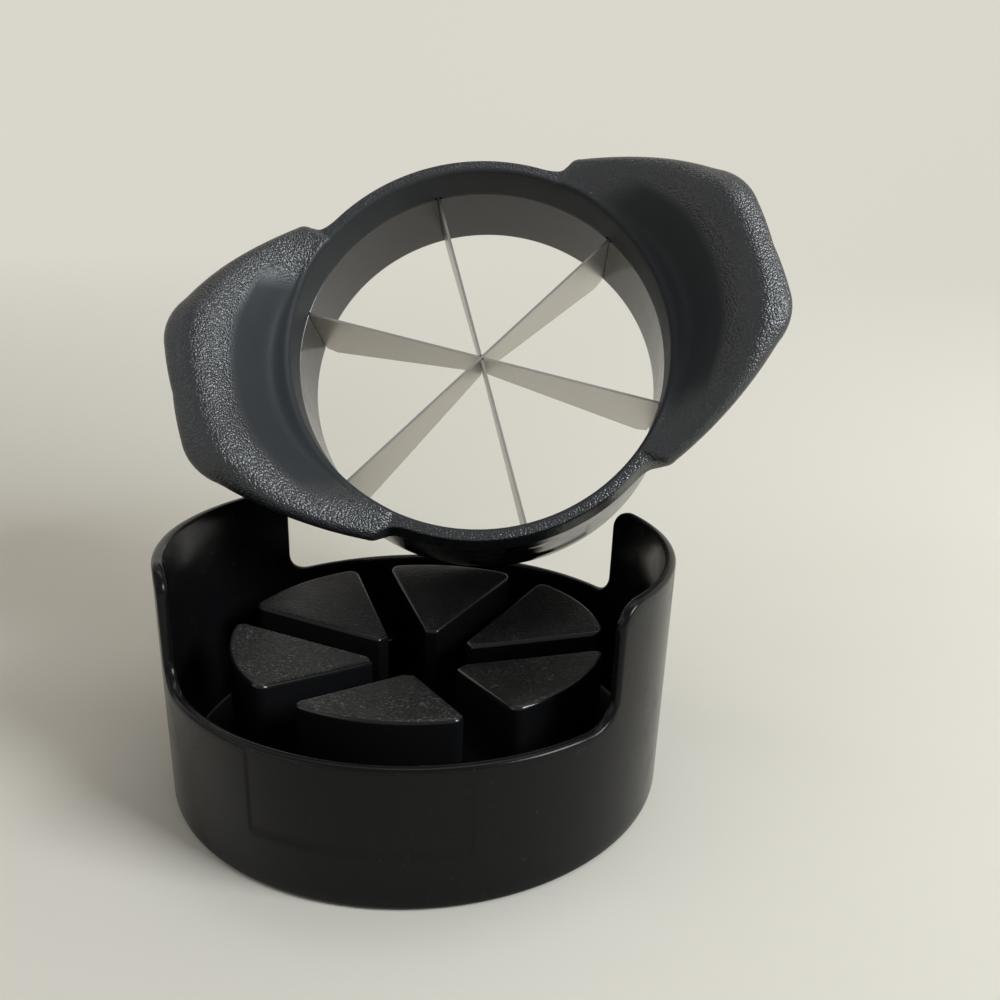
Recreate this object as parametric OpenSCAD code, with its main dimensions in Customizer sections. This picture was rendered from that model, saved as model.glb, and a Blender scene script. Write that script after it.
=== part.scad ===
// Six-wedge tomato cutter: a cup with six wedge posts, and a blade ring with two wing grips.
// The blade ring leans on the back of the cup, as it stands when put down between cuts.
// Millimetres, Z up. The origin is the centre of the cup's underside. The notches face -Y and +Y.

/* [Cup] */
// Gap between the cup wall and the blade ring when the ring is nested in it
nest_gap = 1.5; // [0.8:0.1:4]
// How much smaller the cup's radius is at the table than at the rim
cup_draft = 1; // [0:0.1:3]
// Height of the two tall walls
cup_h = 56; // [46:0.5:70]
// Thickness of the cup wall
cup_wall = 2.4; // [1.8:0.1:3.2]
// Thickness of the cup floor
floor_t = 3; // [2:0.1:5]
// Bevel on the cup's bottom edge
foot_bevel = 1; // [0.4:0.1:1.5]

/* [Notches for the wings] */
// Half angle of each notch, seen from the cup axis
notch_half = 53; // [46:0.5:58]
// Height of the low wall in the notches
notch_low = 30.8; // [26:0.2:36]
// Corner radius of the notches, top and bottom
notch_round = 5.5; // [3:0.5:9]

/* [Front panel] */
// Half angle of the bare panel on the front of the cup
panel_half = 21.5; // [10:0.5:30]
// Height of the panel's lower edge
panel_low = 12.4; // [8:0.2:20]
// Depth of the panel
panel_depth = 0.4; // [0.2:0.1:0.8]

/* [Wedge posts] */
// Width of the channel between the posts and the cup wall
channel_w = 12.9; // [8:0.1:16]
// Width of the gap between two posts
post_gap = 11; // [8:0.2:14]
// Height of a post's top at its outer edge
post_rim_h = 32.3; // [28:0.1:36]
// How much lower a post's top is at its inner end
post_dish = 6.5; // [0:0.1:10]
// Distance of a post's blunt inner end from the cup axis
post_apex_r = 13.2; // [12:0.1:18]
// Thickness of a post's hollow shell
post_wall = 2.4; // [1.6:0.1:3.2]
// Width of the shoulder that rests on the cup floor
post_shoulder = 1; // [0.6:0.1:1.4]
// Clearance round a post's plug in its floor window
post_clear = 0.15; // [0.1:0.05:0.4]

/* [Blade ring] */
// Radius of the round opening at the seam
opening_r = 51.4; // [46:0.1:56]
// How much wider the opening's radius is at the bottom of the ring
opening_flare = 0.6; // [0:0.1:1.5]
// Thickness of the ring wall at the seam
ring_wall = 4.2; // [3.6:0.1:6]
// How much larger the ring's outer radius is at its bottom edge
ring_spread = 0.5; // [0:0.1:1.5]
// Depth of the ring below the seam
ring_depth = 24.5; // [18:0.1:30]
// Half angle of the bare panel on the side of the ring
ring_panel_half = 18; // [8:1:24]
// Height of the panel on the side of the ring
ring_panel_h = 14; // [6:0.5:18]

/* [Blades] */
// Thickness of a blade
blade_t = 0.7; // [0.4:0.1:1.2]
// Height of a blade where the blades cross
blade_mid_h = 10.8; // [8:0.1:16]
// How far a blade reaches below the ring
blade_drop = 1.5; // [0.5:0.1:2.5]
// Depth of the blade slots in the ring wall
slot_depth = 2; // [1.2:0.1:2.4]
// Height of the blade slots, from the seam
slot_h = 22; // [12:0.5:23]
// Height of the small pocket in the frame over each blade end
pocket_h = 1; // [0.5:0.1:2]
// Clearance round a blade in a slot
blade_clear = 0.15; // [0.1:0.05:0.3]

/* [Handle frame] */
// Height of the frame's rim above the seam
rim_h = 11.6; // [8:0.1:16]
// Bevel on the inner lip of the rim
lip = 1; // [0.4:0.1:1.6]
// Width of the flat top of the rim, with its bevel
rim_flat_w = 2.7; // [1.8:0.1:3.6]
// Thickness of the rim at the seam
rim_wall = 4.6; // [4:0.1:6]
// Depth of the tongue and groove at the seam
tongue_h = 1.5; // [0.8:0.1:2.5]
// Thickness of the tongue
tongue_t = 1.1; // [0.6:0.1:1.4]
// Clearance round the tongue in its groove
tongue_clear = 0.15; // [0.1:0.05:0.3]

/* [Wings] */
// How far a wing's tip stands out from the rim
wing_reach = 24; // [18:0.2:36]
// Half width of a wing's tip, before its corners are rounded
wing_tip_half = 15.2; // [10:0.2:24]
// Radius of the tip's corners
wing_corner = 13; // [6:0.5:14]
// Half angle of a wing where it joins the ring
wing_half = 49.5; // [40:0.5:56]
// How far a wing's side stands out from the rim at the join
wing_step = 4.6; // [2:0.2:8]
// Outward bulge of a wing's long sides
wing_bulge = 1.6; // [0:0.1:4]
// Radius of a wing's corners at the join
wing_end_round = 4; // [1:0.5:6]
// Height of the wing plateau above the seam
wing_h = 24.5; // [16:0.1:30]
// Thickness of a wing at the plateau
wing_t = 5; // [3.5:0.1:8]
// Width of the wing's scoop, from the rim to the plateau
scoop_w = 16; // [12:0.2:22]

/* [Leaning pose of the blade ring] */
// Lean of the ring, from level
lean_tilt = 62; // [50:0.2:75]
// Turn of the ring about its own axis
lean_spin = 16.9; // [0:0.1:30]
// Turn of the leaning ring about the cup axis
lean_turn = 4.4; // [-10:0.1:20]
// Sideways place of the ring's centre
lean_x = 6.7; // [-10:0.1:20]
// How far the ring's low edge stands inside the outer edge of the back post
lean_in = 0.3; // [0:0.1:2]
// Gap between the ring's low edge and the back post's top
lean_gap = 0.4; // [0.3:0.1:1]

/* [Hidden] */
$fn = 96;
post_count = 6;
post_step = 360 / post_count;
blade_count = 3;
blade_step = 180 / blade_count;
blade_first = 30;
over = 1;
opening_low_r = opening_r + opening_flare;
ring_top_r = opening_r + ring_wall;
ring_low_r = ring_top_r + ring_spread;
cup_rim_r = ring_low_r + nest_gap + cup_wall;
cup_foot_r = cup_rim_r - cup_draft;
post_r = cup_rim_r - cup_wall - channel_w;
post_apex_h = post_rim_h - post_dish;
rim_flat_r = opening_r + rim_flat_w;
rim_low_r = opening_r + rim_wall;
wing_tip_x = rim_low_r + wing_reach;
wing_root_r = rim_low_r + wing_step;
scoop_in_r = rim_low_r;
scoop_out_r = scoop_in_r + scoop_w;
notch_mid_r = cup_rim_r - cup_wall / 2;
low_back = ring_depth * sin(lean_tilt) - ring_low_r * cos(lean_tilt);
low_down = ring_depth * cos(lean_tilt) + ring_low_r * sin(lean_tilt);
lean_y = post_r - lean_in - low_back * cos(lean_turn);
lean_z = post_rim_h + lean_gap + low_down;
blade_end_gap = 3 * blade_clear;
blade_end_cut = 2 * blade_drop;
scoop_steps = 12;
corner_steps = 10;

// Direction in the plane, at an angle from +X
function toward(angle) = [cos(angle), sin(angle)];

// Outer radius of the cup wall at a height
function cup_r(z) = cup_foot_r + (cup_rim_r - cup_foot_r) * z / cup_h;

// Height of a post's dished top at a distance from the cup axis
function post_top(r) = post_apex_h + (post_rim_h - post_apex_h) * (r - post_apex_r) / (post_r - post_apex_r);

// Smooth rise from low to high while r goes from r_in to r_out
function blend(r, r_in, r_out, low, high) =
    let (t = min(max((r - r_in) / (r_out - r_in), 0), 1)) low + (high - low) * (1 - cos(180 * t)) / 2;

// Ring-shaped block round the Z axis, between two angles from -half to +half about +Y
module sector(half, r_in, r_out, z_low, z_high) {
    rotate([0, 0, 90 - half])
        rotate_extrude(angle = 2 * half)
            translate([r_in, z_low])
                square([r_out - r_in, z_high - z_low]);
}

// Points of an arc about a centre, from one angle to another
function arc(centre, r, from, to) =
    [for (k = [0 : corner_steps]) centre + r * toward(from + (to - from) * k / corner_steps)];

// Space of one wing notch, at +Y: low wall below, round corners at the foot and the top of the tall walls
module notch_space() {
    reach = 2 * cup_rim_r;
    side_y = notch_mid_r * cos(notch_half);
    rotate([90, 0, 90])
        translate([0, 0, -reach])
            linear_extrude(height = 2 * reach)
                polygon(concat(
                    [[reach, notch_low]],
                    arc([side_y + notch_round, notch_low + notch_round], notch_round, 270, 180),
                    arc([side_y - notch_round, cup_h - notch_round], notch_round, 0, 90),
                    [[side_y - notch_round, cup_h + over], [reach, cup_h + over]]
                ));
}

// Flat shape of one post along +X, drawn in from its outside by an inset
module wedge_2d(inset) {
    reach = 2 * post_r;
    offset_in = post_gap / 2 + inset;
    intersection() {
        circle(r = post_r - inset);
        translate([post_apex_r + inset, -reach])
            square([reach, 2 * reach]);
        rotate(post_step / 2)
            translate([-reach, -offset_in - 2 * reach])
                square([3 * reach, 2 * reach]);
        rotate(-post_step / 2)
            translate([-reach, offset_in])
                square([3 * reach, 2 * reach]);
    }
}

// Everything under the posts' dished tops, lowered by a drop
module under_post_tops(drop) {
    r_out = post_r + over;
    rotate_extrude()
        polygon([[0, 0], [r_out, 0], [r_out, post_top(r_out) - drop], [0, post_top(0) - drop]]);
}

// Cup wall and floor, before the notches
module cup_shell() {
    rotate_extrude()
        polygon([
            [0, 0], [cup_foot_r - foot_bevel, 0], [cup_r(foot_bevel), foot_bevel],
            [cup_rim_r, cup_h], [cup_rim_r - cup_wall, cup_h],
            [cup_r(floor_t) - cup_wall, floor_t], [0, floor_t]
        ]);
}

// Space of the bare panel on the front of the cup
module panel_space() {
    rotate([0, 0, 270 - panel_half])
        rotate_extrude(angle = 2 * panel_half)
            polygon([
                [cup_r(panel_low) - panel_depth, panel_low], [cup_rim_r + over, panel_low],
                [cup_rim_r + over, notch_low + over], [cup_r(notch_low + over) - panel_depth, notch_low + over]
            ]);
}

// Round cup with a low wall front and back, a window in the floor under each post
module base_cup() {
    color([0.1, 0.1, 0.11])
        difference() {
            cup_shell();
            notch_space();
            rotate([0, 0, 180]) notch_space();
            panel_space();
            for (i = [0 : post_count - 1]) {
                rotate([0, 0, post_step / 2 + post_step * i])
                    translate([0, 0, -over])
                        linear_extrude(height = floor_t + 2 * over)
                            wedge_2d(post_shoulder - post_clear);
            }
        }
}

// Hollow post with a plug that sits in its floor window
module wedge_post(i) {
    color([0.07, 0.07, 0.08])
        rotate([0, 0, post_step / 2 + post_step * i])
            difference() {
                intersection() {
                    union() {
                        translate([0, 0, floor_t])
                            linear_extrude(height = post_rim_h)
                                wedge_2d(0);
                        linear_extrude(height = floor_t + over)
                            wedge_2d(post_shoulder);
                    }
                    under_post_tops(0);
                }
                intersection() {
                    linear_extrude(height = post_rim_h)
                        wedge_2d(post_wall);
                    under_post_tops(post_wall);
                }
            }
}

// Places the parts of the blade ring in their leaning pose
module lean() {
    translate([lean_x, lean_y, lean_z])
        rotate([0, 0, lean_turn])
            rotate([lean_tilt, 0, 0])
                rotate([0, 0, lean_spin])
                    children();
}

// Profile of the tongue at the seam, grown by a clearance
module tongue_2d(grow) {
    mid_r = (opening_r + slot_depth + ring_top_r) / 2;
    translate([mid_r - tongue_t / 2 - grow, -over])
        square([tongue_t + 2 * grow, tongue_h + over + grow]);
}

// Lower ring that holds the blades in six slots
module blade_ring() {
    slot_w = blade_t + 2 * blade_clear;
    panel_top = -(ring_depth - ring_panel_h) / 2;
    color([0.06, 0.06, 0.07])
        lean()
            difference() {
                rotate_extrude()
                    union() {
                        polygon([
                            [opening_r, 0], [opening_low_r, -ring_depth],
                            [ring_low_r, -ring_depth], [ring_top_r, 0]
                        ]);
                        tongue_2d(0);
                    }
                for (i = [0 : 2 * blade_count - 1]) {
                    rotate([0, 0, blade_first + blade_step * i])
                        translate([opening_r - over, -slot_w / 2, -slot_h])
                            cube([slot_depth + over, slot_w, slot_h + over]);
                }
                rotate([0, 0, 180])
                    sector(ring_panel_half, ring_top_r - panel_depth, ring_low_r + over,
                        panel_top - ring_panel_h, panel_top);
            }
}

// Outline of one blade in its own plane, with its interlocking slots
module blade_2d(i) {
    end_x = opening_r + slot_depth - blade_clear;
    low_x = opening_low_r - blade_end_gap;
    top = -blade_clear;
    low = -ring_depth - blade_drop;
    third = blade_mid_h / blade_count;
    slot_w = 2 * blade_t + 2 * blade_clear;
    difference() {
        polygon([
            [-end_x, top], [end_x, top], [end_x, blade_clear - slot_h], [low_x, blade_clear - slot_h],
            [low_x, -ring_depth], [low_x - blade_end_cut, low], [0, -blade_mid_h],
            [blade_end_cut - low_x, low], [-low_x, -ring_depth],
            [-low_x, blade_clear - slot_h], [-end_x, blade_clear - slot_h]
        ]);
        // Slot from above, for the blades that cross higher
        if (i > 0) {
            translate([-slot_w / 2, -third * i - blade_clear])
                square([slot_w, third * i + 2 * blade_clear]);
        }
        // Slot from below, for the blades that cross lower
        if (i < blade_count - 1) {
            translate([-slot_w / 2, -blade_mid_h - over])
                square([slot_w, blade_mid_h + over - third * (i + 1)]);
        }
    }
}

// Thin strip across the whole ring
module blade(i) {
    color([0.75, 0.75, 0.74])
        lean()
            rotate([0, 0, blade_first + blade_step * i])
                rotate([90, 0, 0])
                    translate([0, 0, -blade_t / 2])
                        linear_extrude(height = blade_t)
                            blade_2d(i);
}

// Centre of a round corner at p, between edges that leave p at angles a and b
function corner_centre(p, a, b, r) = p + r / sin((b - a) / 2) * toward((a + b) / 2);

// Point where a round corner at p leaves the edge at angle a, with the other edge at b
function corner_end(p, a, b, r) = p + r / tan(abs(b - a) / 2) * toward(a);

// Flat outline of one wing along +X, with round corners at the tip and at the join
module wing_2d() {
    root = wing_root_r * toward(wing_half);
    tip = [wing_tip_x, wing_tip_half];
    side_angle = atan2(root[1] - tip[1], tip[0] - root[0]);
    in_a = 180 + wing_half;
    out_a = 360 - side_angle;
    back_a = 180 - side_angle;
    edge_a = 270;
    out_p = corner_end(root, out_a, in_a, wing_end_round);
    back_p = corner_end(tip, back_a, edge_a, wing_corner);
    bulge_a = 90 - side_angle;
    side_line = [for (k = [0 : corner_steps]) let (t = k / corner_steps)
        out_p + t * (back_p - out_p) + 4 * t * (1 - t) * wing_bulge * toward(bulge_a)];
    half = concat(
        [corner_end(root, in_a, out_a, wing_end_round)], side_line,
        [corner_end(tip, edge_a, back_a, wing_corner)]
    );
    for (side = [0, 1]) {
        mirror([0, side]) {
            polygon(concat([[0, 0]], half, [[wing_tip_x, 0]]));
            translate(corner_centre(root, in_a, out_a, wing_end_round)) circle(r = wing_end_round);
            translate(corner_centre(tip, back_a, edge_a, wing_corner)) circle(r = wing_corner);
        }
    }
}

// Section through a wing: a scoop that rises from the rim to a plateau
module wing_section() {
    tip_r = wing_tip_x + wing_corner;
    under_in = scoop_in_r + wing_t;
    under_out = scoop_out_r + wing_t / 2;
    rise = [for (k = [0 : scoop_steps]) scoop_in_r + (scoop_out_r - scoop_in_r) * k / scoop_steps];
    fall = [for (k = [scoop_steps : -1 : 0]) under_in + (under_out - under_in) * k / scoop_steps];
    polygon(concat(
        [[rim_flat_r, 0], [rim_flat_r, rim_h - lip]],
        [for (r = rise) [r, blend(r, scoop_in_r, scoop_out_r, rim_h - lip, wing_h)]],
        [[tip_r, wing_h], [tip_r, wing_h - wing_t]],
        [for (r = fall) [r, blend(r, under_in, under_out, 0, wing_h - wing_t)]]
    ));
}

// Upper moulding: rim of the opening and both wing grips
module handle_frame() {
    notch_w = 3 * blade_t + 2 * blade_clear;
    color([0.12, 0.12, 0.13])
        lean()
            difference() {
                union() {
                    rotate_extrude()
                        polygon([
                            [opening_r, 0], [opening_r, rim_h - lip], [opening_r + lip, rim_h],
                            [rim_flat_r, rim_h], [rim_low_r, rim_h / 2], [rim_low_r, 0]
                        ]);
                    for (side = [0, 180]) {
                        rotate([0, 0, side])
                            intersection() {
                                linear_extrude(height = wing_h + over)
                                    wing_2d();
                                rotate_extrude() wing_section();
                            }
                    }
                }
                rotate_extrude() tongue_2d(tongue_clear);
                // Small pockets over the ends of the blades
                for (i = [0 : 2 * blade_count - 1]) {
                    rotate([0, 0, blade_first + blade_step * i])
                        translate([opening_r - over, -notch_w / 2, -over])
                            cube([slot_depth / 2 + over, notch_w, pocket_h + over]);
                }
            }
}

base_cup();
wedge_post(0);  // wedge_post_1
wedge_post(1);  // wedge_post_2
wedge_post(2);  // wedge_post_3
wedge_post(3);  // wedge_post_4
wedge_post(4);  // wedge_post_5
wedge_post(5);  // wedge_post_6
blade_ring();
blade(0);  // blade_1
blade(1);  // blade_2
blade(2);  // blade_3
handle_frame();
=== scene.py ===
"""Looks of the six-wedge tomato cutter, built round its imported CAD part.

A dark cup with six wedge posts stands on a pale floor, and the blade ring leans on its back edge.
Sizes are in millimetres until a mesh is made, in the CAD part's own frame.
"""

import math

import bmesh
import bpy
import numpy as np
from mathutils import Matrix, Vector


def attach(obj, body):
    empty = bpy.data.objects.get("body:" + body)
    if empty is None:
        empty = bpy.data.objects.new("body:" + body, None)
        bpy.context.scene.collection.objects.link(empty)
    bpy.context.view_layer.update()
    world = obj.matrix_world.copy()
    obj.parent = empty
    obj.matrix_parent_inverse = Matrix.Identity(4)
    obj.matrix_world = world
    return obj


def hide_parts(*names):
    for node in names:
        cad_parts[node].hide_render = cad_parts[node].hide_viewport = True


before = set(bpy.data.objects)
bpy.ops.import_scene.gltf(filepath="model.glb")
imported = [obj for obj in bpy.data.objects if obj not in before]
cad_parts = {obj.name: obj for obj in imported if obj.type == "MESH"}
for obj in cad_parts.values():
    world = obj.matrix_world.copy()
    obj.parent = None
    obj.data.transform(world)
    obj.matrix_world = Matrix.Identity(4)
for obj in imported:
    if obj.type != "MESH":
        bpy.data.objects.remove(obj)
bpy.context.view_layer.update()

MM = 0.001

# Smallest step between two points of a section
HAIR = 0.02

# Cup
CUP_FOOT_R = 59.0
CUP_RIM_R = 60.0
CUP_H = 56.0
CUP_WALL = 2.4
FLOOR_T = 3.0
FOOT_ROUND = 1.2
FLOOR_FILLET = 1.6
RIM_ROUND = 0.95

# Notches in the cup wall
NOTCH_HALF = 53.0
NOTCH_LOW = 30.8
NOTCH_ROUND_ALONG = 6.9
NOTCH_ROUND_UP = 5.5

# Bare panel on the cup's front
PANEL_HALF = 21.5
PANEL_LOW = 12.4
PANEL_DEPTH = 0.25
PANEL_EDGE = 0.6

# Wedge posts
POST_COUNT = 6
POST_R = 45.3
POST_GAP = 9.7
POST_APEX_R = 12.6
POST_RIM_H = 32.6
POST_APEX_H = 25.8
POST_WALL = 2.4
POST_SHOULDER = 1.0
POST_CLEAR = 0.15
POST_EDGE_ROUND = 1.1
POST_OUTER_ROUND = 2.4
POST_NOSE_ROUND = 1.15

# Blade ring, in its own frame with the seam at height 0
OPENING_R = 51.4
OPENING_LOW_R = 52.0
RING_TOP_R = 55.6
RING_LOW_R = 56.1
RING_DEPTH = 24.5
RING_ROUND = 0.7
SEAM_BEVEL = 0.14
SLOT_DEPTH = 2.0
SLOT_W = 1.0
SLOT_H = 22.0
LABEL_HALF = 18.0
LABEL_TOP = -5.25
LABEL_LOW = -19.25
LABEL_DEPTH = 0.4
LABEL_EDGE = 0.35
BLADE_ANGLES = (30.0, 90.0, 150.0, 210.0, 270.0, 330.0)

# Handle frame
RIM_H = 11.6
RIM_LOW_R = 56.0
RIM_FLAT_R = 54.7
RIM_EDGE_SOFT = 0.12
LIP_ROUND = 1.2
WING_LIP_ROUND = 1.8
COLLAR_H = 5.8
COLLAR_IN_R = 54.1
JOIN_CLEAR = 0.15
POCKET_H = 1.0
POCKET_DEPTH = 1.0
POCKET_W = 2.4

# Wings of the handle frame
WING_TIP_X = 78.5
WING_TIP_HALF = 20.7
WING_CORNER = 15.0
WING_HALF = 49.4
WING_ROOT_R = 61.0
WING_BULGE = 1.7
WING_END_ROUND = 1.8
WING_NOTCH = 51.8
WING_NOTCH_R = 56.4
WING_BLEND = 57.0
WING_H = 26.7
WING_END_H = 13.4
WING_T = 5.0
WING_FALL = 37.8
WING_CURVE = 1.25
WING_UNDER_R = 61.0
WING_UNDER_W = 13.5
WING_EDGE_ROUND = 2.2
WING_ROLL = 0.55
WING_RIDGE = 0.37
WING_TUCK = 1.8
SCOOP_SIDE = 17.0
SCOOP_R = 40.1
SCOOP_W = 17.0
SCOOP_FOOT_SOFT = 0.7
SCOOP_CLIMB = 2

# Grain on the grip, from the scoop's foot outwards and towards the wing's ends
GRAIN_START = 5.6
GRAIN_FULL = 7.6
GRAIN_END_START = 27.0
GRAIN_END_FULL = 34.0

# Leaning pose of the blade ring
LEAN_TILT = 62.0
LEAN_SPIN = 16.9
LEAN_TURN = 4.4
LEAN_AT = (6.7, 49.0913, 93.7354)

# Floor, and the sweep behind the object
SWEEP_Y = 420.0
SWEEP_ROUND = 260.0
SWEEP_BLEND = 120.0
STAGE_FRONT = -1500.0
STAGE_HALF = 2500.0
STAGE_TOP = 2500.0

# Camera, in metres and degrees
CAMERA_AT = (0.04009, -0.18860, 0.11815)
CAMERA_AZIMUTH = 6.454
CAMERA_ELEVATION = 15.389
CAMERA_ROLL = 1.644
CAMERA_LENS = 30.32

LEAN = (
    Matrix.Translation(Vector(LEAN_AT) * MM)
    @ Matrix.Rotation(math.radians(LEAN_TURN), 4, "Z")
    @ Matrix.Rotation(math.radians(LEAN_TILT), 4, "X")
    @ Matrix.Rotation(math.radians(LEAN_SPIN), 4, "Z")
)


# Small tools for points and meshes


def toward(angle):
    """Direction in the plane at an angle in degrees from +X."""
    a = math.radians(angle)
    return np.array([math.cos(a), math.sin(a)])


def arc(centre, radius, start, end, steps):
    """Points of an arc about a centre, from one angle to another."""
    return [np.array(centre) + radius * toward(start + (end - start) * k / steps) for k in range(steps + 1)]


def bend(before, corner, after, steps):
    """Points of a soft corner between two points, drawn towards the corner point."""
    before, corner, after = np.array(before), np.array(corner), np.array(after)
    ts = [k / steps for k in range(steps + 1)]
    return [(1 - t) ** 2 * before + 2 * t * (1 - t) * corner + t * t * after for t in ts]


def smooth_step(x, low, high):
    """0 below low, 1 above high, and a smooth rise between them."""
    t = np.clip((np.asarray(x, float) - low) / (high - low), 0, 1)
    return t * t * (3 - 2 * t)


def make_piece(name, points, faces, matrix=None, sharp=35.0):
    """Object from points in millimetres, shaded smooth with hard edges above the sharp angle."""
    mesh = bpy.data.meshes.new(name)
    mesh.from_pydata([tuple(float(c) * MM for c in p) for p in points], [], faces)
    mesh.validate()
    if matrix is not None:
        mesh.transform(matrix)
    work = bmesh.new()
    work.from_mesh(mesh)
    bmesh.ops.remove_doubles(work, verts=work.verts, dist=1e-7)
    bmesh.ops.recalc_face_normals(work, faces=work.faces)
    work.to_mesh(mesh)
    work.free()
    mesh.shade_smooth()
    mesh.set_sharp_from_angle(angle=math.radians(sharp))
    obj = bpy.data.objects.new(name, mesh)
    bpy.context.scene.collection.objects.link(obj)
    return obj


def grid_faces(rows, columns, wrap_rows):
    """Quads of a grid of points whose columns close on themselves, and its rows too if asked."""
    faces = []
    for i in range(rows if wrap_rows else rows - 1):
        up = (i + 1) % rows
        for j in range(columns):
            side = (j + 1) % columns
            faces.append((i * columns + j, i * columns + side, up * columns + side, up * columns + j))
    return faces


def turned_ring(name, angles, sections, matrix, sharp=35.0):
    """Closed ring from one section of (radius, height) points at each angle."""
    points = []
    for angle, section in zip(angles, sections):
        c, s = toward(angle)
        points += [(r * c, r * s, z) for r, z in section]
    return make_piece(name, points, grid_faces(len(angles), len(sections[0]), True), matrix, sharp)


def near_blade(angle, half_width, radius):
    """True if an angle of the ring lies in a cut of that half width over a blade's end."""
    half = math.degrees(half_width / radius)
    return any(abs((angle - b + 180) % 360 - 180) < half for b in BLADE_ANGLES)


def ring_angles(step, half_width, radius, extra):
    """Angles round the ring, doubled at both sides of each cut over a blade's end."""
    half = math.degrees(half_width / radius)
    step_gap = 0.02
    angles = set(np.round(np.arange(0, 360, step), 4)) | set(np.round(np.array(extra) % 360, 4))
    angles = {a for a in angles if not near_blade(a, half_width + 0.12, radius)}
    for b in BLADE_ANGLES:
        for side in (-half - step_gap, -half + step_gap, 0, half - step_gap, half + step_gap):
            angles.add(round((b + side) % 360, 4))
    return sorted(angles)


# Cup


def cup_r(z):
    """Outer radius of the cup wall at a height."""
    return CUP_FOOT_R + (CUP_RIM_R - CUP_FOOT_R) * np.asarray(z, float) / CUP_H


def rim_path():
    """The rim's line round the cup, as (way along the wall, height) with the front's middle at 0."""
    mid_r = CUP_RIM_R - CUP_WALL / 2
    turn = math.radians(1) * mid_r
    side = NOTCH_HALF * turn
    a, b = NOTCH_ROUND_ALONG, NOTCH_ROUND_UP
    low_end, high_start = side - a, side + a
    panel = [PANEL_HALF * turn + d for d in (-PANEL_EDGE / 2, 0, PANEL_EDGE / 2)]
    low = sorted(list(np.linspace(0, low_end - 1, 44)) + panel)
    steps = np.radians(np.linspace(0, 90, 13))
    quarter = [(s, NOTCH_LOW) for s in low]
    quarter += [(low_end + a * math.sin(t), NOTCH_LOW + b - b * math.cos(t)) for t in steps]
    wall = np.linspace(NOTCH_LOW + b, CUP_H - b, 14)[1:-1]
    quarter += [(side, z) for z in wall]
    quarter += [(high_start - a * math.cos(t), CUP_H - b + b * math.sin(t)) for t in steps]
    quarter += [(s, CUP_H) for s in np.linspace(high_start + 1, 90 * turn, 30)]
    half_way = 180 * turn
    half = quarter + [(half_way - s, z) for s, z in reversed(quarter[1:-1])] + [(half_way, NOTCH_LOW)]
    line = half + [(-s, z) for s, z in reversed(half[1:-1])]
    return np.array(line), mid_r


def foot_places(line, mid_r):
    """Way along the lower wall for each rim point, with the points spread out under the notch sides."""
    turn = math.radians(1) * mid_r
    before, after = 8.0, 22.0
    s = np.abs(line[:, 0])
    fold = np.minimum(s, 180 * turn - s)
    side = NOTCH_HALF * turn
    start, end = side - before, side + after
    near_side = {(float(f), float(z)) for f, z in zip(fold, line[:, 1]) if start < f < end}
    quarter = np.array([(start, NOTCH_LOW)] + sorted(near_side) + [(end, CUP_H)])
    length = np.concatenate([[0], np.cumsum(np.hypot(*np.diff(quarter, axis=0).T))])
    spread = start + length / length[-1] * (end - start)
    places = []
    for (full, z), f in zip(line, fold):
        if start < f < end:
            k = int(np.argmin(np.hypot(quarter[:, 0] - f, quarter[:, 1] - z)))
            f = spread[k]
        back = f if abs(full) <= 90 * turn else 180 * turn - f
        places.append(math.copysign(back, full))
    return np.array(places)


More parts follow.
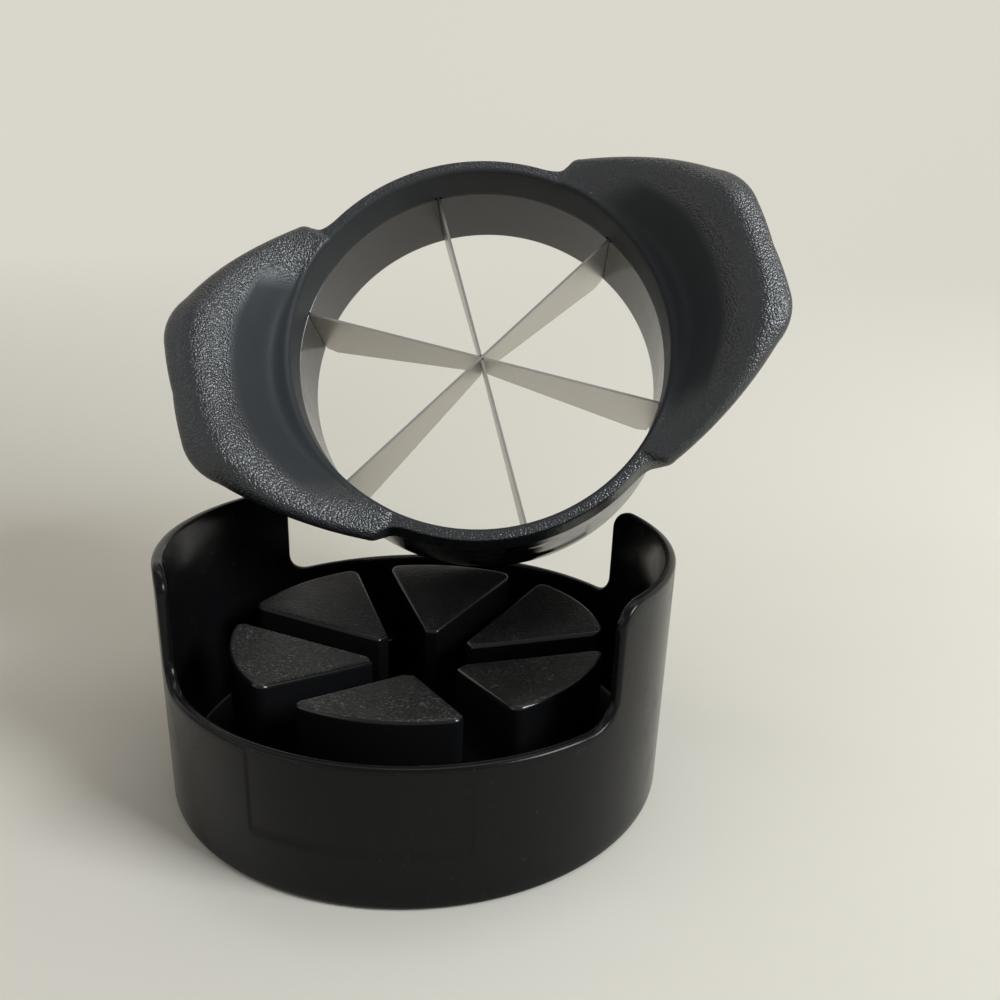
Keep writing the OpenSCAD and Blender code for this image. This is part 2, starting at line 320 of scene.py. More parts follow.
def build_cup():
    """Cup with two wing notches, a soft rim, a bare front panel and a floor window under each post."""
    line, mid_r = rim_path()
    turn = math.radians(1) * mid_r
    low = foot_places(line, mid_r)
    ahead = np.roll(line, -1, 0) - line
    behind = line - np.roll(line, 1, 0)
    around = 360 * turn
    ahead[:, 0] = (ahead[:, 0] + around / 2) % around - around / 2
    behind[:, 0] = (behind[:, 0] + around / 2) % around - around / 2
    along = ahead / np.hypot(*ahead.T)[:, None] + behind / np.hypot(*behind.T)[:, None]
    along /= np.hypot(*along.T)[:, None]
    out = np.stack([-along[:, 1], along[:, 0]], 1)
    rows = []

    def add(s, z, depth):
        s, z, depth = np.broadcast_arrays(np.asarray(s, float), z, depth)
        rows.append(np.stack([s, z, depth], 1))

    # Underside and round foot, from the middle outwards
    for r in (2, 14, 28, 42, 52):
        add(low, 0.0, CUP_FOOT_R - r)
    for angle in np.radians([0, 22.5, 45, 67.5, 90]):
        add(low, FOOT_ROUND * (1 - math.cos(angle)), FOOT_ROUND * (1 - math.sin(angle)))

    # Outside of the wall
    inner_line = line - out * RIM_ROUND
    knee = 16.0
    panel_half = PANEL_HALF * turn
    for z in (3, 5, 7, 9, 11, PANEL_LOW - PANEL_EDGE / 2, PANEL_LOW + PANEL_EDGE / 2, 14, knee):
        add(low, z, 0.0)
    steps = 16
    for k in range(1, steps + 1):
        t = k / steps
        add(low + t * (inner_line[:, 0] - low), knee + t * (inner_line[:, 1] - knee), 0.0)
    outside = len(rows)

    # Soft rim
    for angle in np.radians(np.linspace(0, 90, 7))[1:]:
        lift = RIM_ROUND * (1 - math.sin(angle))
        edge = line - out * lift
        add(edge[:, 0], edge[:, 1], RIM_ROUND * (1 - math.cos(angle)))
    for angle in np.radians(np.linspace(90, 0, 7)):
        lift = RIM_ROUND * (1 - math.sin(angle))
        edge = line - out * lift
        add(edge[:, 0], edge[:, 1], CUP_WALL - RIM_ROUND * (1 - math.cos(angle)))

    # Inside of the wall, fillet and floor
    for k in range(steps - 1, -1, -1):
        t = k / steps
        add(low + t * (inner_line[:, 0] - low), knee + t * (inner_line[:, 1] - knee), CUP_WALL)
    for z in (12, 8, FLOOR_T + FLOOR_FILLET):
        add(low, z, CUP_WALL)
    for angle in np.radians([22.5, 45, 67.5, 90]):
        drop = FLOOR_FILLET * (1 - math.sin(angle))
        add(low, FLOOR_T + drop, CUP_WALL + FLOOR_FILLET * (1 - math.cos(angle)))
    for r in (48, 36, 24, 12, 2):
        add(low, FLOOR_T, float(cup_r(FLOOR_T)) - r)

    points = []
    for index, row in enumerate(rows):
        s, z, depth = row.T
        angle = s / mid_r - math.pi / 2
        inset = depth.copy()
        if index < outside:
            within = 1 - smooth_step(np.abs(s), panel_half - PANEL_EDGE / 2, panel_half + PANEL_EDGE / 2)
            above = smooth_step(z, PANEL_LOW - PANEL_EDGE / 2, PANEL_LOW + PANEL_EDGE / 2)
            inset = inset + PANEL_DEPTH * within * above
        r = cup_r(z) - inset
        points += list(np.stack([r * np.cos(angle), r * np.sin(angle), z], 1))
    count = len(line)
    faces = grid_faces(len(rows), count, False)
    faces.append(tuple(range(count)))
    faces.append(tuple((len(rows) - 1) * count + k for k in range(count)))
    cup = make_piece("cup", points, faces, sharp=40.0)

    # Windows in the floor
    cut_points, cut_faces = [], []
    for i in range(POST_COUNT):
        outline = post_outline(POST_SHOULDER - POST_CLEAR, 0.6, 0.5)
        first = len(cut_points)
        turned = turn_points(outline, 360 / POST_COUNT * (i + 0.5))
        n = len(turned)
        cut_points += [(x, y, -2.0) for x, y in turned] + [(x, y, FLOOR_T + 1.0) for x, y in turned]
        for k in range(n):
            side = (k + 1) % n
            cut_faces.append((first + k, first + side, first + n + side, first + n + k))
        cut_faces += [tuple(first + k for k in range(n)), tuple(first + n + k for k in range(n))]
    cutter = make_piece("floor_windows", cut_points, cut_faces)
    cut = cup.modifiers.new("windows", "BOOLEAN")
    cut.operation = "DIFFERENCE"
    cut.solver = "EXACT"
    cut.object = cutter
    apply_modifiers(cup)
    bpy.data.objects.remove(cutter)
    cup.data.set_sharp_from_angle(angle=math.radians(40.0))
    return cup


def apply_modifiers(obj):
    """Bakes an object's modifiers into its mesh."""
    graph = bpy.context.evaluated_depsgraph_get()
    mesh = bpy.data.meshes.new_from_object(obj.evaluated_get(graph))
    obj.modifiers.clear()
    obj.data = mesh
    mesh.name = obj.name


# Wedge posts


def turn_points(points, angle):
    """Flat points turned about the origin by an angle in degrees."""
    c, s = toward(angle)
    return [(x * c - y * s, x * s + y * c) for x, y in points]


def post_half(inset, outer_round, nose_round):
    """Upper half of a post's flat outline along +X, from its blunt nose to the middle of its outer edge."""
    lean = toward(180 / POST_COUNT)
    inward = np.array([lean[1], -lean[0]])
    gap = POST_GAP / 2 + inset
    outer = POST_R - inset
    nose = max(POST_APEX_R + inset, gap / lean[1] + 1.0)
    reach = math.sqrt((outer - outer_round) ** 2 - (gap + outer_round) ** 2)
    outer_at = (gap + outer_round) * inward + reach * lean
    slide = (nose + nose_round - (gap + nose_round) * inward[0]) / lean[0]
    nose_at = (gap + nose_round) * inward + slide * lean
    if nose_at[1] < 0:
        nose_at = np.array([nose_at[0] - nose_at[1] / math.tan(math.pi / POST_COUNT), 0.0])
    away = 90 + 180 / POST_COUNT
    line = arc(nose_at, nose_round, 180, away, 6)
    start, end = line[-1], outer_at + outer_round * toward(away)
    line += [start + (end - start) * k / 12 for k in range(1, 12)]
    turn = math.degrees(math.atan2(outer_at[1], outer_at[0]))
    line += arc(outer_at, outer_round, away, turn, 8)
    line += arc((0, 0), outer, turn, 0, 12)[1:]
    nose_mid = np.array([line[0][0], 0.0])
    return [nose_mid] + line


def post_outline(inset, outer_round, nose_round):
    """Whole flat outline of a post along +X."""
    half = post_half(inset, outer_round, nose_round)
    return half + [np.array([x, -y]) for x, y in reversed(half[1:-1])]


def post_top(r):
    """Height of a post's dished top at a distance from the cup's axis."""
    return POST_APEX_H + (POST_RIM_H - POST_APEX_H) * (r - POST_APEX_R) / (POST_R - POST_APEX_R)


def build_post(i):
    """Hollow wedge post with a soft top edge, and a plug that sits in its floor window."""
    loops = []

    def add(inset, height, outer_round=0.6, nose_round=0.5):
        outline = post_outline(inset, outer_round, nose_round)
        loops.append([(x, y, height(math.hypot(x, y))) for x, y in outline])

    # Hollow inside, plug, shoulder and outer side, up to the soft edge
    add(POST_WALL, lambda r: post_top(r) - POST_WALL)
    add(POST_WALL, lambda r: 0.0)
    add(POST_SHOULDER, lambda r: 0.0)
    add(POST_SHOULDER, lambda r: FLOOR_T)
    add(0.15, lambda r: FLOOR_T, POST_OUTER_ROUND, POST_NOSE_ROUND)
    add(0.0, lambda r: FLOOR_T + 0.3, POST_OUTER_ROUND, POST_NOSE_ROUND)
    for share in (0.35, 0.7):
        rise = lambda r, k=share: FLOOR_T + k * (post_top(r) - FLOOR_T)
        add(0.0, rise, POST_OUTER_ROUND, POST_NOSE_ROUND)
    edge = POST_EDGE_ROUND
    for angle in np.radians(np.linspace(0, 90, 7)):
        inset = edge * (1 - math.cos(angle))
        drop = edge * (1 - math.sin(angle))
        nose_round = max(POST_NOSE_ROUND - inset, 0.05)
        add(inset, lambda r, d=drop: post_top(r) - d, POST_OUTER_ROUND - inset, nose_round)

    n = len(loops[0])
    points = [p for loop in loops for p in loop]
    faces = grid_faces(len(loops), n, False)
    faces += cap_faces(points, 0, n, lambda r: post_top(r) - POST_WALL)
    faces += cap_faces(points, (len(loops) - 1) * n, n, post_top)
    spin = Matrix.Rotation(math.radians(360 / POST_COUNT * (i + 0.5)), 4, "Z")
    return make_piece(f"post_{i + 1}", points, faces, spin, sharp=40.0)


def cap_faces(points, first, n, height):
    """Fills a post outline with rows across it, adding their points at the given height."""
    half = n // 2
    across = 8
    rows = []
    for k in range(1, half):
        a, b = first + k, first + n - k
        row = [a]
        for m in range(1, across):
            x = points[a][0]
            y = points[a][1] + (points[b][1] - points[a][1]) * m / across
            points.append((x, y, height(math.hypot(x, y))))
            row.append(len(points) - 1)
        rows.append(row + [b])
    faces = []
    for low, high in zip(rows, rows[1:]):
        faces += [(low[m], low[m + 1], high[m + 1], high[m]) for m in range(across)]
    faces += [(first, rows[0][m], rows[0][m + 1]) for m in range(across)]
    faces += [(first + half, rows[-1][m + 1], rows[-1][m]) for m in range(across)]
    return faces


# Blade ring


def build_ring():
    """Lower ring with soft edges, slots for the blades' ends and a bare panel on its side."""
    label_at = 270.0
    edge = math.degrees(LABEL_EDGE / RING_LOW_R)
    extra = [label_at + side * LABEL_HALF + d for side in (-1, 1) for d in (-edge, 0, edge)]
    angles = ring_angles(1.5, SLOT_W / 2, OPENING_R, extra)
    sections = []
    for angle in angles:
        cut = near_blade(angle, SLOT_W / 2, OPENING_R)
        within = 1 - float(smooth_step(abs(angle - label_at), LABEL_HALF - edge, LABEL_HALF + edge))
        sections.append(ring_section(cut, within))
    return turned_ring("lower_ring", angles, sections, LEAN)


def ring_section(cut, within):
    """Section of the lower ring: cut is true in a blade slot, within is 1 on the side panel."""
    top, low, soft = -0.03, -RING_DEPTH, RING_ROUND

    def inner(z):
        return OPENING_R + (OPENING_LOW_R - OPENING_R) * z / low

    def outer(z):
        return RING_TOP_R + (RING_LOW_R - RING_TOP_R) * min(z, 0.0) / low

    slot = SLOT_DEPTH if cut else 0.0
    section = [(OPENING_R + SEAM_BEVEL + slot, top)]
    section += [(inner(z) + slot, z) for z in (-SEAM_BEVEL, -7, -14, -SLOT_H + HAIR)]
    section += [(inner(z), z) for z in (-SLOT_H - HAIR, -23.2)]
    section += [tuple(p) for p in arc((OPENING_LOW_R + soft, low + soft), soft, 180, 270, 5)]
    section += [tuple(p) for p in arc((RING_LOW_R - soft, low + soft), soft, 270, 360, 5)]
    label_low = (LABEL_LOW - LABEL_EDGE, LABEL_LOW + LABEL_EDGE)
    label_top = (LABEL_TOP - LABEL_EDGE, LABEL_TOP + LABEL_EDGE)
    for z in (-21, *label_low, -16, -12, -8, *label_top, -2.5):
        panel = LABEL_DEPTH * within if LABEL_LOW < z < LABEL_TOP else 0.0
        section.append((outer(z) - panel, z))
    section += [(RING_TOP_R, 1.0), (RING_TOP_R, COLLAR_H - SEAM_BEVEL), (RING_TOP_R - SEAM_BEVEL, COLLAR_H)]
    section += [(COLLAR_IN_R, COLLAR_H), (COLLAR_IN_R, top)]
    return section


# Handle frame


def wing_outline():
    """Polar outline of the frame's upper half round one wing: angles from the wing's axis, and radii."""
    corner = WING_ROOT_R * toward(WING_HALF)
    notch = WING_NOTCH_R * toward(WING_NOTCH)
    rim = RIM_LOW_R * toward(WING_BLEND)
    tip = np.array([WING_TIP_X, WING_TIP_HALF])
    slant = math.degrees(math.atan2(corner[1] - tip[1], tip[0] - corner[0]))
    tip_half = math.radians(90 + slant) / 2
    tip_at = tip + WING_CORNER / math.sin(tip_half) * toward(225 - slant / 2)
    leave = tip_at + WING_CORNER * toward(90 - slant)
    reach = corner + WING_END_ROUND * toward(-slant)
    inward = (notch - corner) / np.linalg.norm(notch - corner)

    # Tip, long side, round corner, and a hollow that runs out into the rim
    line = [np.array([WING_TIP_X, 0.0])]
    line += arc(tip_at, WING_CORNER, 0, 90 - slant, 16)
    for k in range(1, 40):
        t = k / 40
        line.append(leave + t * (reach - leave) + 4 * t * (1 - t) * WING_BULGE * toward(90 - slant))
    line += bend(reach, corner, corner + WING_END_ROUND * inward, 8)
    line += bend(notch - WING_END_ROUND * inward, notch, rim, 16)
    line = np.array(line)
    angles = np.degrees(np.arctan2(line[:, 1], line[:, 0]))
    radii = np.hypot(line[:, 0], line[:, 1])
    order = np.argsort(angles, kind="stable")
    return angles[order], radii[order]


def soft_max(a, b, soft):
    """Larger of two values, with a smooth change between them."""
    return soft * float(np.logaddexp(a / soft, b / soft))


def edge_height(x):
    """Height of the wing's outer edge over the seam, at a distance along the wing's axis."""
    return WING_H - (WING_H - WING_END_H) * (abs(WING_TIP_X - x) / WING_FALL) ** WING_CURVE


def under_height(r):
    """Height of the wing's underside over the seam, at a distance from the ring's axis."""
    return (WING_H - WING_T) * float(smooth_step(r, WING_UNDER_R, WING_UNDER_R + WING_UNDER_W))


def ridge_height(r, beta, edge_r):
    """Height of the soft ridge along the wing, which rolls off to the outer edge."""
    crest = WING_RIDGE * (edge_r - RIM_LOW_R + 1.0)
    inside = min(edge_r - r, crest)
    roll = inside - inside**2 / (2 * crest)
    return edge_height(edge_r * math.cos(math.radians(beta))) + WING_ROLL * roll


def grip_height(r, beta, edge_r):
    """Height of the wing's top: a round thumb scoop that sweeps up from the rim to the ridge."""
    along = r * math.cos(math.radians(beta)) - SCOOP_SIDE
    scoop_r = math.hypot(along, r * math.sin(math.radians(beta)))
    share = min(soft_max(scoop_r - SCOOP_R, 0.0, SCOOP_FOOT_SOFT) / SCOOP_W, 1.0)
    climb = 1 - (1 - share) ** SCOOP_CLIMB
    return RIM_H + climb * (ridge_height(r, beta, edge_r) - RIM_H)


def rim_height(r, edge_r):
    """Height of the rim's top, flat and then falling to the outer seam at the outline's radius."""
    flat = min(RIM_FLAT_R + edge_r - RIM_LOW_R, edge_r - 0.8)
    fall = (RIM_H - COLLAR_H) / (edge_r - flat)
    return RIM_H - fall * soft_max(r - flat, 0.0, RIM_EDGE_SOFT)


def frame_section(beta, edge_r, pocket):
    """Section of the handle frame at an angle from the wing's axis, out to the outline's radius there."""
    wing = float(smooth_step(edge_r, RIM_LOW_R + 0.4, RIM_LOW_R + 4.4))
    cut = POCKET_DEPTH if pocket else 0.0
    lip = LIP_ROUND + (WING_LIP_ROUND - LIP_ROUND) * wing

    def top(r):
        return rim_height(r, edge_r) * (1 - wing) + grip_height(r, beta, edge_r) * wing

    # Inner wall and lip
    lip_r = OPENING_R + lip
    lip_z = top(lip_r)
    cut_r = OPENING_R + cut
    section = [(cut_r + SEAM_BEVEL, 0.0), (cut_r, SEAM_BEVEL), (cut_r, POCKET_H - HAIR)]
    section += [(OPENING_R, POCKET_H + HAIR), (OPENING_R, 4.0), (OPENING_R, 7.0)]
    section += [tuple(p) for p in arc((lip_r, lip_z - lip), lip, 180, 90, 8)]

    # Top, from the lip to the soft edge
    edge_z = top(edge_r)
    soft = min(0.6 + (WING_EDGE_ROUND - 0.6) * wing, 0.6 * (edge_r - lip_r))
    last_r = edge_r - soft
    section += [(r, top(r)) for r in np.linspace(lip_r, last_r, 34)[1:-1]]

    # Soft edge, side and underside
    end = float(smooth_step(beta, WING_HALF - 4.0, WING_HALF + 2.0))
    under = min(0.3 + under_height(edge_r - 2 * WING_TUCK), edge_z - WING_T)
    under += (edge_z - 2.5 - under) * end
    seat = COLLAR_H + JOIN_CLEAR
    under = seat + (under - seat) * wing
    edge_z = max(edge_z, under + HAIR)
    side_drop = min(soft, 0.6 * (edge_z - under))
    shoulder = bend((last_r, top(last_r)), (edge_r, edge_z), (edge_r, edge_z - side_drop), 7)
    section += [tuple(p) for p in shoulder]
    low = 0.35 * (edge_z - under)
    low_r = edge_r - WING_TUCK * wing
    inner_r = low_r - low * wing - 0.05
    section += [tuple(p) for p in bend((low_r, under + low), (low_r, under), (inner_r, under), 4)]
    root_r, root_z = RING_TOP_R + JOIN_CLEAR, min(under, 0.2 + (COLLAR_H - 0.2) * max(end, 1 - wing))
    full = under_height(inner_r) + HAIR
    for t in (0.9, 0.8, 0.7, 0.6, 0.5, 0.4, 0.3, 0.2, 0.1, 0.0):
        r = root_r + t * (inner_r - root_r)
        section.append((r, root_z + (under - root_z) * (under_height(r) + HAIR * t) / full))
    seat_r, seat_z = COLLAR_IN_R - JOIN_CLEAR, seat + HAIR / 2
    section += [(root_r, seat_z), (seat_r, seat_z), (seat_r, 0.0)]
    return section


def build_frame():
    """Upper moulding: the rim of the opening and two wing grips."""
    outline_a, outline_r = wing_outline()
    ends = np.arange(42, 63, 0.3)
    extra = [axis + side * a for axis in (0, 180) for side in (-1, 1) for a in ends]
    angles = ring_angles(1.0, POCKET_W / 2, OPENING_R, extra)
    sections = []
    for angle in angles:
        beta = abs((angle + 90) % 180 - 90)
        edge_r = float(np.interp(beta, outline_a, outline_r, right=RIM_LOW_R))
        edge_r = max(edge_r, RIM_LOW_R)
        sections.append(frame_section(beta, edge_r, near_blade(angle, POCKET_W / 2, OPENING_R)))
    return turned_ring("grip_frame", angles, sections, LEAN, sharp=60.0)


# Materials


class Nodes:
    """Short way to add and join the nodes of one material."""

    def __init__(self, name):
        self.material = bpy.data.materials.new(name)
        self.material.use_nodes = True
        self.tree = self.material.node_tree
        self.shader = self.tree.nodes["Principled BSDF"]
        self.coords = self.tree.nodes.new("ShaderNodeTexCoord").outputs["Object"]

    def add(self, kind, inputs=None, **settings):
        """New node with settings, and inputs given as values or as sockets."""
        node = self.tree.nodes.new(kind)
        for key, value in settings.items():
            setattr(node, key, value)
        for key, value in (inputs or {}).items():
            self.put(node.inputs[key], value)
        return node

    def put(self, socket, value):
        """Sets a socket to a value or joins it to another socket."""
        if isinstance(value, bpy.types.NodeSocket):
            self.tree.links.new(value, socket)
        else:
            socket.default_value = value

    def noise(self, scale, detail=3.0, rough=0.5, vector=None):
        node = self.add(
            "ShaderNodeTexNoise",
            {"Vector": vector or self.coords, "Scale": scale, "Detail": detail, "Roughness": rough},
        )
        return node.outputs["Fac"]

    def ramp(self, factor, stops):
        """Colour ramp from (position, value or colour) stops."""
        node = self.add("ShaderNodeValToRGB", {"Fac": factor})
        ramp = node.color_ramp
        while len(ramp.elements) < len(stops):
            ramp.elements.new(0.5)
        for element, (place, value) in zip(ramp.elements, stops):
            element.position = place
            colour = value if isinstance(value, tuple) else (value, value, value)
            element.color = (*colour, 1.0)
        return node.outputs["Color"]

    def span(self, factor, low, high, to_low, to_high):
        """Maps one range of a factor onto another."""
        node = self.add(
            "ShaderNodeMapRange",
            {"Value": factor, "From Min": low, "From Max": high, "To Min": to_low, "To Max": to_high},
        )
        return node.outputs["Result"]

    def maths(self, operation, a, b):
        node = self.add("ShaderNodeMath", {0: a, 1: b}, operation=operation)
        return node.outputs["Value"]

    def mix(self, factor, a, b):
        node = self.add("ShaderNodeMix", data_type="RGBA")
        self.put(node.inputs["Factor"], factor)
        self.put(node.inputs[6], a if isinstance(a, bpy.types.NodeSocket) else (*a, 1.0))
        self.put(node.inputs[7], b if isinstance(b, bpy.types.NodeSocket) else (*b, 1.0))
        return node.outputs[2]

    def bump(self, height, strength, distance, under=None):
        node = self.add("ShaderNodeBump", {"Height": height, "Strength": strength, "Distance": distance})
        if under is not None:
            self.put(node.inputs["Normal"], under)
        return node.outputs["Normal"]

    def edge_wear_and_sheen(self, most):
        """Share of lightening on rounded outer edges, broken up by noise: partly wear, partly a painted
        highlight along the edges.
        """
        point = self.add("ShaderNodeNewGeometry").outputs["Pointiness"]
        edge = self.span(point, 0.53, 0.60, 0.0, 1.0)
        return self.maths("MULTIPLY", edge, self.span(self.noise(240.0, 4.0, 0.6), 0.35, 0.65, 0.15, most))

    def finish(self, **inputs):
        """Sets the shader's inputs and returns the material."""
        for key, value in inputs.items():
            self.put(self.shader.inputs[key.replace("_", " ")], value)
        return self.material


def ring_place(n):
    """Coordinates of the blade ring's own frame, in metres, as three sockets."""
    into = LEAN.inverted()
    place = n.add("ShaderNodeMapping", {"Vector": n.coords})
    place.inputs["Location"].default_value = into.translation
    place.inputs["Rotation"].default_value = into.to_euler("XYZ")
    parts = n.add("ShaderNodeSeparateXYZ", {"Vector": place.outputs["Vector"]})
    return parts.outputs["X"], parts.outputs["Y"], parts.outputs["Z"]


def grain_zone(n):
    """Where the grip is grained: rim and wing tops, but not the thumb scoops or the inner wall."""
    x, y, _ = ring_place(n)
    along = n.maths("ABSOLUTE", x, 0.0)
    beside = n.maths("SUBTRACT", along, SCOOP_SIDE * MM)
    y_square = n.maths("MULTIPLY", y, y)
    scoop_r = n.maths("SQRT", n.maths("ADD", n.maths("MULTIPLY", beside, beside), y_square), 0.0)
    radius = n.maths("SQRT", n.maths("ADD", n.maths("MULTIPLY", x, x), y_square), 0.0)
    ridge = n.span(scoop_r, (SCOOP_R + GRAIN_START) * MM, (SCOOP_R + GRAIN_FULL) * MM, 0.0, 1.0)
    ends = n.span(n.maths("ABSOLUTE", y, 0.0), GRAIN_END_START * MM, GRAIN_END_FULL * MM, 0.0, 1.0)
    top = n.maths("MAXIMUM", ridge, ends)
    lip = n.span(radius, (OPENING_R + 0.5) * MM, (OPENING_R + 1.1) * MM, 0.0, 1.0)
    return n.maths("MULTIPLY", top, lip)


def grip_material():
    """Black grip plastic: a pebble grain on the rim and the wings' tops, and smooth thumb scoops painted
    lighter to stand in for light they lack.
    """
    n = Nodes("grip_plastic")
    zone = grain_zone(n)
    pebbles = n.add(
        "ShaderNodeTexVoronoi",
        {"Vector": n.coords, "Scale": 1750.0, "Smoothness": 0.3, "Randomness": 1.0},
        feature="SMOOTH_F1",
    )
    fine = n.maths("MULTIPLY", n.noise(3000.0, 2.0), 0.4)
    height = n.maths("SUBTRACT", fine, pebbles.outputs["Distance"])
    patches = n.noise(45.0, 4.0)
    # Painted light: the smooth scoops get a lighter base than the grained zone, to lift the scoops that the
    # lamps leave dark, and the grained zone's base is kept darker to offset its glints.
    scoop_tone_painted_light = n.mix(patches, (0.0265, 0.0290, 0.0316), (0.0320, 0.0348, 0.0376))
    grain_tone = n.mix(patches, (0.0140, 0.0155, 0.0172), (0.0185, 0.0203, 0.0225))
    rough = n.span(n.noise(160.0, 4.0), 0.3, 0.7, 0.54, 0.60)
    smooth = n.bump(n.noise(1500.0, 2.0), 0.05, 0.0002)
    return n.finish(
        Base_Color=n.mix(zone, scoop_tone_painted_light, grain_tone),
        Roughness=n.maths("SUBTRACT", rough, n.maths("MULTIPLY", zone, 0.26)),
        Specular_IOR_Level=n.span(zone, 0.0, 1.0, 0.15, 0.72),
        Normal=n.bump(height, n.maths("MULTIPLY", zone, 0.72), 0.0003, smooth),
    )


def cup_material():
    """Glossy black plastic with faint scuffs, dust, and lighter rounded edges that are partly wear and
    partly painted highlight.
    """
    n = Nodes("cup_plastic")
    scuff = n.ramp(n.noise(70.0, 6.0, 0.62), [(0.52, 0.0), (0.72, 1.0)])
    dust = n.ramp(n.noise(900.0, 2.0), [(0.68, 0.0), (0.76, 1.0)])
    tone = n.mix(n.noise(28.0, 3.0), (0.0030, 0.0030, 0.0033), (0.0052, 0.0051, 0.0055))
    tone = n.mix(n.maths("MULTIPLY", dust, 0.2), tone, (0.04, 0.04, 0.042))
    # Rounded edges lightened: wear, and a painted highlight along the rim's edges.
    tone = n.mix(n.edge_wear_and_sheen(0.8), tone, (0.055, 0.055, 0.056))
    return n.finish(
        Base_Color=tone,
        Roughness=n.span(scuff, 0.0, 1.0, 0.20, 0.32),
        Specular_IOR_Level=0.17,
        Normal=n.bump(n.noise(1800.0, 3.0), 0.12, 0.0002),
    )


def post_material():
    """Black plastic with glossy sides, lighter rounded edges that are partly wear and partly painted
    highlight, and grained tops, dustier towards the front.
    """
    n = Nodes("post_plastic")
    normal = n.add("ShaderNodeNewGeometry").outputs["True Normal"]
    up = n.add("ShaderNodeSeparateXYZ", {"Vector": normal}).outputs["Z"]
    top = n.span(up, 0.75, 0.95, 0.0, 1.0)
    back = n.add("ShaderNodeSeparateXYZ", {"Vector": n.coords}).outputs["Y"]
    front = n.span(back, -0.035, 0.03, 1.0, 0.12)
    film = n.ramp(n.noise(110.0, 5.0, 0.6), [(0.38, 0.0), (0.68, 1.0)])
    specks = n.ramp(n.noise(1300.0, 3.0, 0.7), [(0.56, 0.0), (0.66, 1.0)])
    dust = n.maths("MULTIPLY", n.maths("MULTIPLY", n.maths("ADD", 0.25, film), specks), front)
    grain = n.noise(1500.0, 3.0)
    tone = n.mix(n.maths("MULTIPLY", dust, top), (0.0052, 0.0052, 0.0056), (0.13, 0.13, 0.125))
    # Rounded edges lightened: wear, and a painted highlight along the posts' edges.
    tone = n.mix(n.edge_wear_and_sheen(0.7), tone, (0.040, 0.040, 0.041))
    rough = n.maths("ADD", 0.20, n.maths("MULTIPLY", top, n.span(film, 0.0, 1.0, 0.20, 0.34)))
    strength = n.maths("ADD", 0.05, n.maths("MULTIPLY", top, 0.45))
    return n.finish(
        Base_Color=tone,
        Roughness=rough,
        Specular_IOR_Level=0.45,
        Normal=n.bump(grain, strength, 0.0004),
    )


def ring_material():
    """Black plastic of the lower ring, smoother than the grip."""
    n = Nodes("ring_plastic")
    return n.finish(
        Base_Color=n.mix(n.noise(60.0, 4.0), (0.010, 0.010, 0.011), (0.016, 0.016, 0.017)),
        Roughness=n.span(n.noise(220.0, 5.0), 0.3, 0.7, 0.16, 0.24),
        Specular_IOR_Level=0.5,
        Normal=n.bump(n.noise(1400.0, 2.0), 0.08, 0.0002),
    )


def steel_material(index, angle):
    """Brushed stainless steel, with the brushing across the blade at an angle of the ring."""
    n = Nodes(f"blade_steel_{index}")
    into = Matrix.Rotation(math.radians(-angle), 4, "Z") @ LEAN.inverted()
    place = n.add("ShaderNodeMapping", {"Vector": n.coords})
    place.inputs["Location"].default_value = into.translation
    place.inputs["Rotation"].default_value = into.to_euler("XYZ")
    stretch = n.add("ShaderNodeMapping", {"Vector": place.outputs["Vector"], "Scale": (1.0, 1.0, 0.06)})
    lines = n.noise(2600.0, 4.0, 0.7, stretch.outputs["Vector"])
    blotch = n.noise(40.0, 3.0)
    tone = n.mix(lines, (0.54, 0.52, 0.485), (0.70, 0.68, 0.645))
    return n.finish(
        Base_Color=n.mix(n.maths("MULTIPLY", blotch, 0.3), tone, (0.42, 0.40, 0.37)),
        Metallic=1.0,
        Roughness=n.span(lines, 0.3, 0.7, 0.30, 0.44),
        Normal=n.bump(lines, 0.10, 0.0001),
    )


def stage_material():
    """Plain pale paper: lit on the floor, and seen with an even pale tone on the sweep behind."""
    n = Nodes("stage")
    height = n.add("ShaderNodeSeparateXYZ", {"Vector": n.coords}).outputs["Z"]
    path = n.add("ShaderNodeLightPath").outputs
    mirrored = n.maths("MAXIMUM", path["Is Glossy Ray"], path["Is Transmission Ray"])
    seen = n.maths("MAXIMUM", path["Is Camera Ray"], mirrored)
    paper = n.mix(n.noise(6.0, 3.0), (0.665, 0.63, 0.56), (0.695, 0.66, 0.59))
    tone = n.mix(n.noise(1.5, 2.0), (0.67, 0.645, 0.58), (0.72, 0.695, 0.625))
    even = n.add("ShaderNodeEmission", {"Color": tone})
    raised = n.span(height, 0.0, SWEEP_BLEND * MM, 0.0, 1.0)
    choose = n.add("ShaderNodeMixShader", {"Fac": n.maths("MULTIPLY", seen, raised)})
    n.finish(Base_Color=paper, Roughness=0.8, Specular_IOR_Level=0.2)
    n.tree.links.new(n.shader.outputs["BSDF"], choose.inputs[1])
    n.tree.links.new(even.outputs["Emission"], choose.inputs[2])
    n.tree.links.new(choose.outputs["Shader"], n.tree.nodes["Material Output"].inputs["Surface"])
    return n.material


def dress(obj, material, body, slot, *nodes):
    """Gives a piece its material and body, and hides the CAD nodes it stands for; the slot is not used."""
    obj.data.materials.clear()
    obj.data.materials.append(material)
    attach(obj, body)
    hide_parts(*nodes)


# The pieces

dress(build_cup(), cup_material(), "base", "cup_plastic", "base_cup")
post_plastic = post_material()
for number in range(POST_COUNT):
    dress(build_post(number), post_plastic, "base", "post_plastic", f"wedge_post_{number + 1}")
dress(build_ring(), ring_material(), "ring", "ring_plastic", "blade_ring")
dress(build_frame(), grip_material(), "ring", "grip_plastic", "handle_frame")
for number in range(3):
    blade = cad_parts[f"blade_{number + 1}"]
    blade.data.materials.clear()
    blade.data.materials.append(steel_material(number + 1, BLADE_ANGLES[number]))


# Floor, light and camera


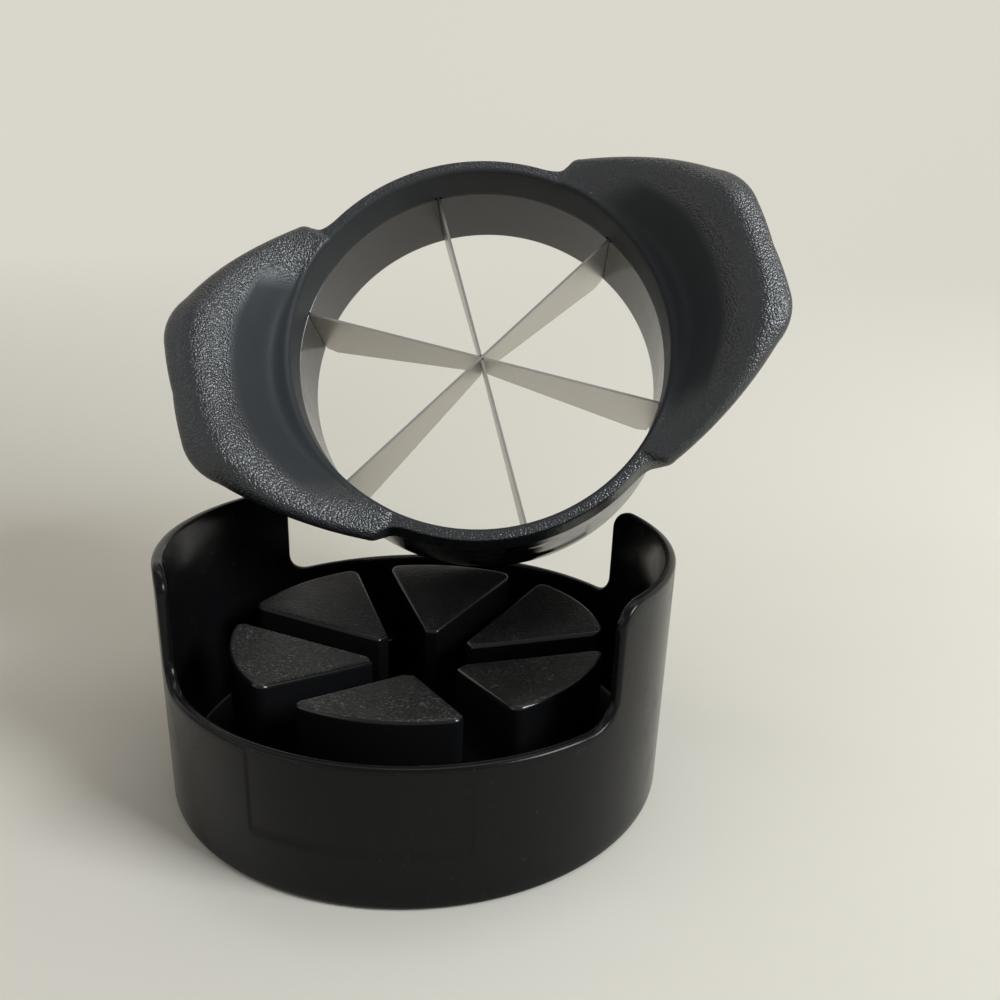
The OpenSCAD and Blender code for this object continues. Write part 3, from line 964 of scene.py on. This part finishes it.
def add_stage():
    """Pale floor under the cup that sweeps up to a wall behind it."""
    line = [np.array([STAGE_FRONT, 0.0])]
    line += arc((SWEEP_Y - SWEEP_ROUND, SWEEP_ROUND), SWEEP_ROUND, 270, 360, 24)
    line.append(np.array([SWEEP_Y, STAGE_TOP]))
    points = [(x, y, z) for y, z in line for x in (-STAGE_HALF, STAGE_HALF)]
    faces = [(2 * k, 2 * k + 1, 2 * k + 3, 2 * k + 2) for k in range(len(line) - 1)]
    stage = make_piece("stage", points, faces)
    stage.data.materials.append(stage_material())


def add_light(name, toward_light, distance, size, power, colour):
    """Soft square lamp that looks at the object from a direction."""
    lamp = bpy.data.lights.new(name, "AREA")
    lamp.shape = "RECTANGLE"
    lamp.size, lamp.size_y = size
    lamp.energy = power
    lamp.color = colour
    obj = bpy.data.objects.new(name, lamp)
    bpy.context.scene.collection.objects.link(obj)
    centre = Vector((0.005, 0.03, 0.06))
    way = Vector(toward_light).normalized()
    obj.location = centre + way * distance
    obj.rotation_euler = way.to_track_quat("Z", "Y").to_euler()


def add_world():
    """Plain grey surroundings that light the object evenly."""
    world = bpy.data.worlds.new("surroundings")
    bpy.context.scene.world = world
    world.use_nodes = True
    light = world.node_tree.nodes["Background"]
    light.inputs["Color"].default_value = (0.80, 0.80, 0.80, 1.0)
    light.inputs["Strength"].default_value = 0.40


def add_camera():
    """Camera at the photograph's place and angle."""
    data = bpy.data.cameras.new("camera")
    data.lens = CAMERA_LENS
    data.sensor_width = 36.0
    data.sensor_fit = "HORIZONTAL"
    data.clip_start = 0.01
    data.clip_end = 50.0
    camera = bpy.data.objects.new("camera", data)
    bpy.context.scene.collection.objects.link(camera)
    a, e, roll = (math.radians(v) for v in (CAMERA_AZIMUTH, CAMERA_ELEVATION, CAMERA_ROLL))
    back = Vector((math.sin(a) * math.cos(e), -math.cos(a) * math.cos(e), math.sin(e)))
    level = Vector((math.cos(a), math.sin(a), 0))
    up = back.cross(level)
    right = math.cos(roll) * level + math.sin(roll) * up
    top = math.cos(roll) * up - math.sin(roll) * level
    turn = Matrix((right, top, back)).transposed().to_4x4()
    camera.matrix_world = Matrix.Translation(CAMERA_AT) @ turn
    bpy.context.scene.camera = camera


add_stage()
add_light("key", (0.81, -0.31, 0.50), 1.0, (0.42, 0.36), 9.8, (0.90, 0.965, 1.0))
add_light("top", (0.1, 0.3, 0.95), 1.3, (0.9, 0.6), 4.0, (1.0, 0.98, 0.95))
add_light("fill", (-0.74, -0.50, 0.45), 1.2, (1.0, 0.8), 1.6, (0.97, 0.99, 1.0))
add_world()
add_camera()
bpy.context.scene.view_settings.view_transform = "Standard"
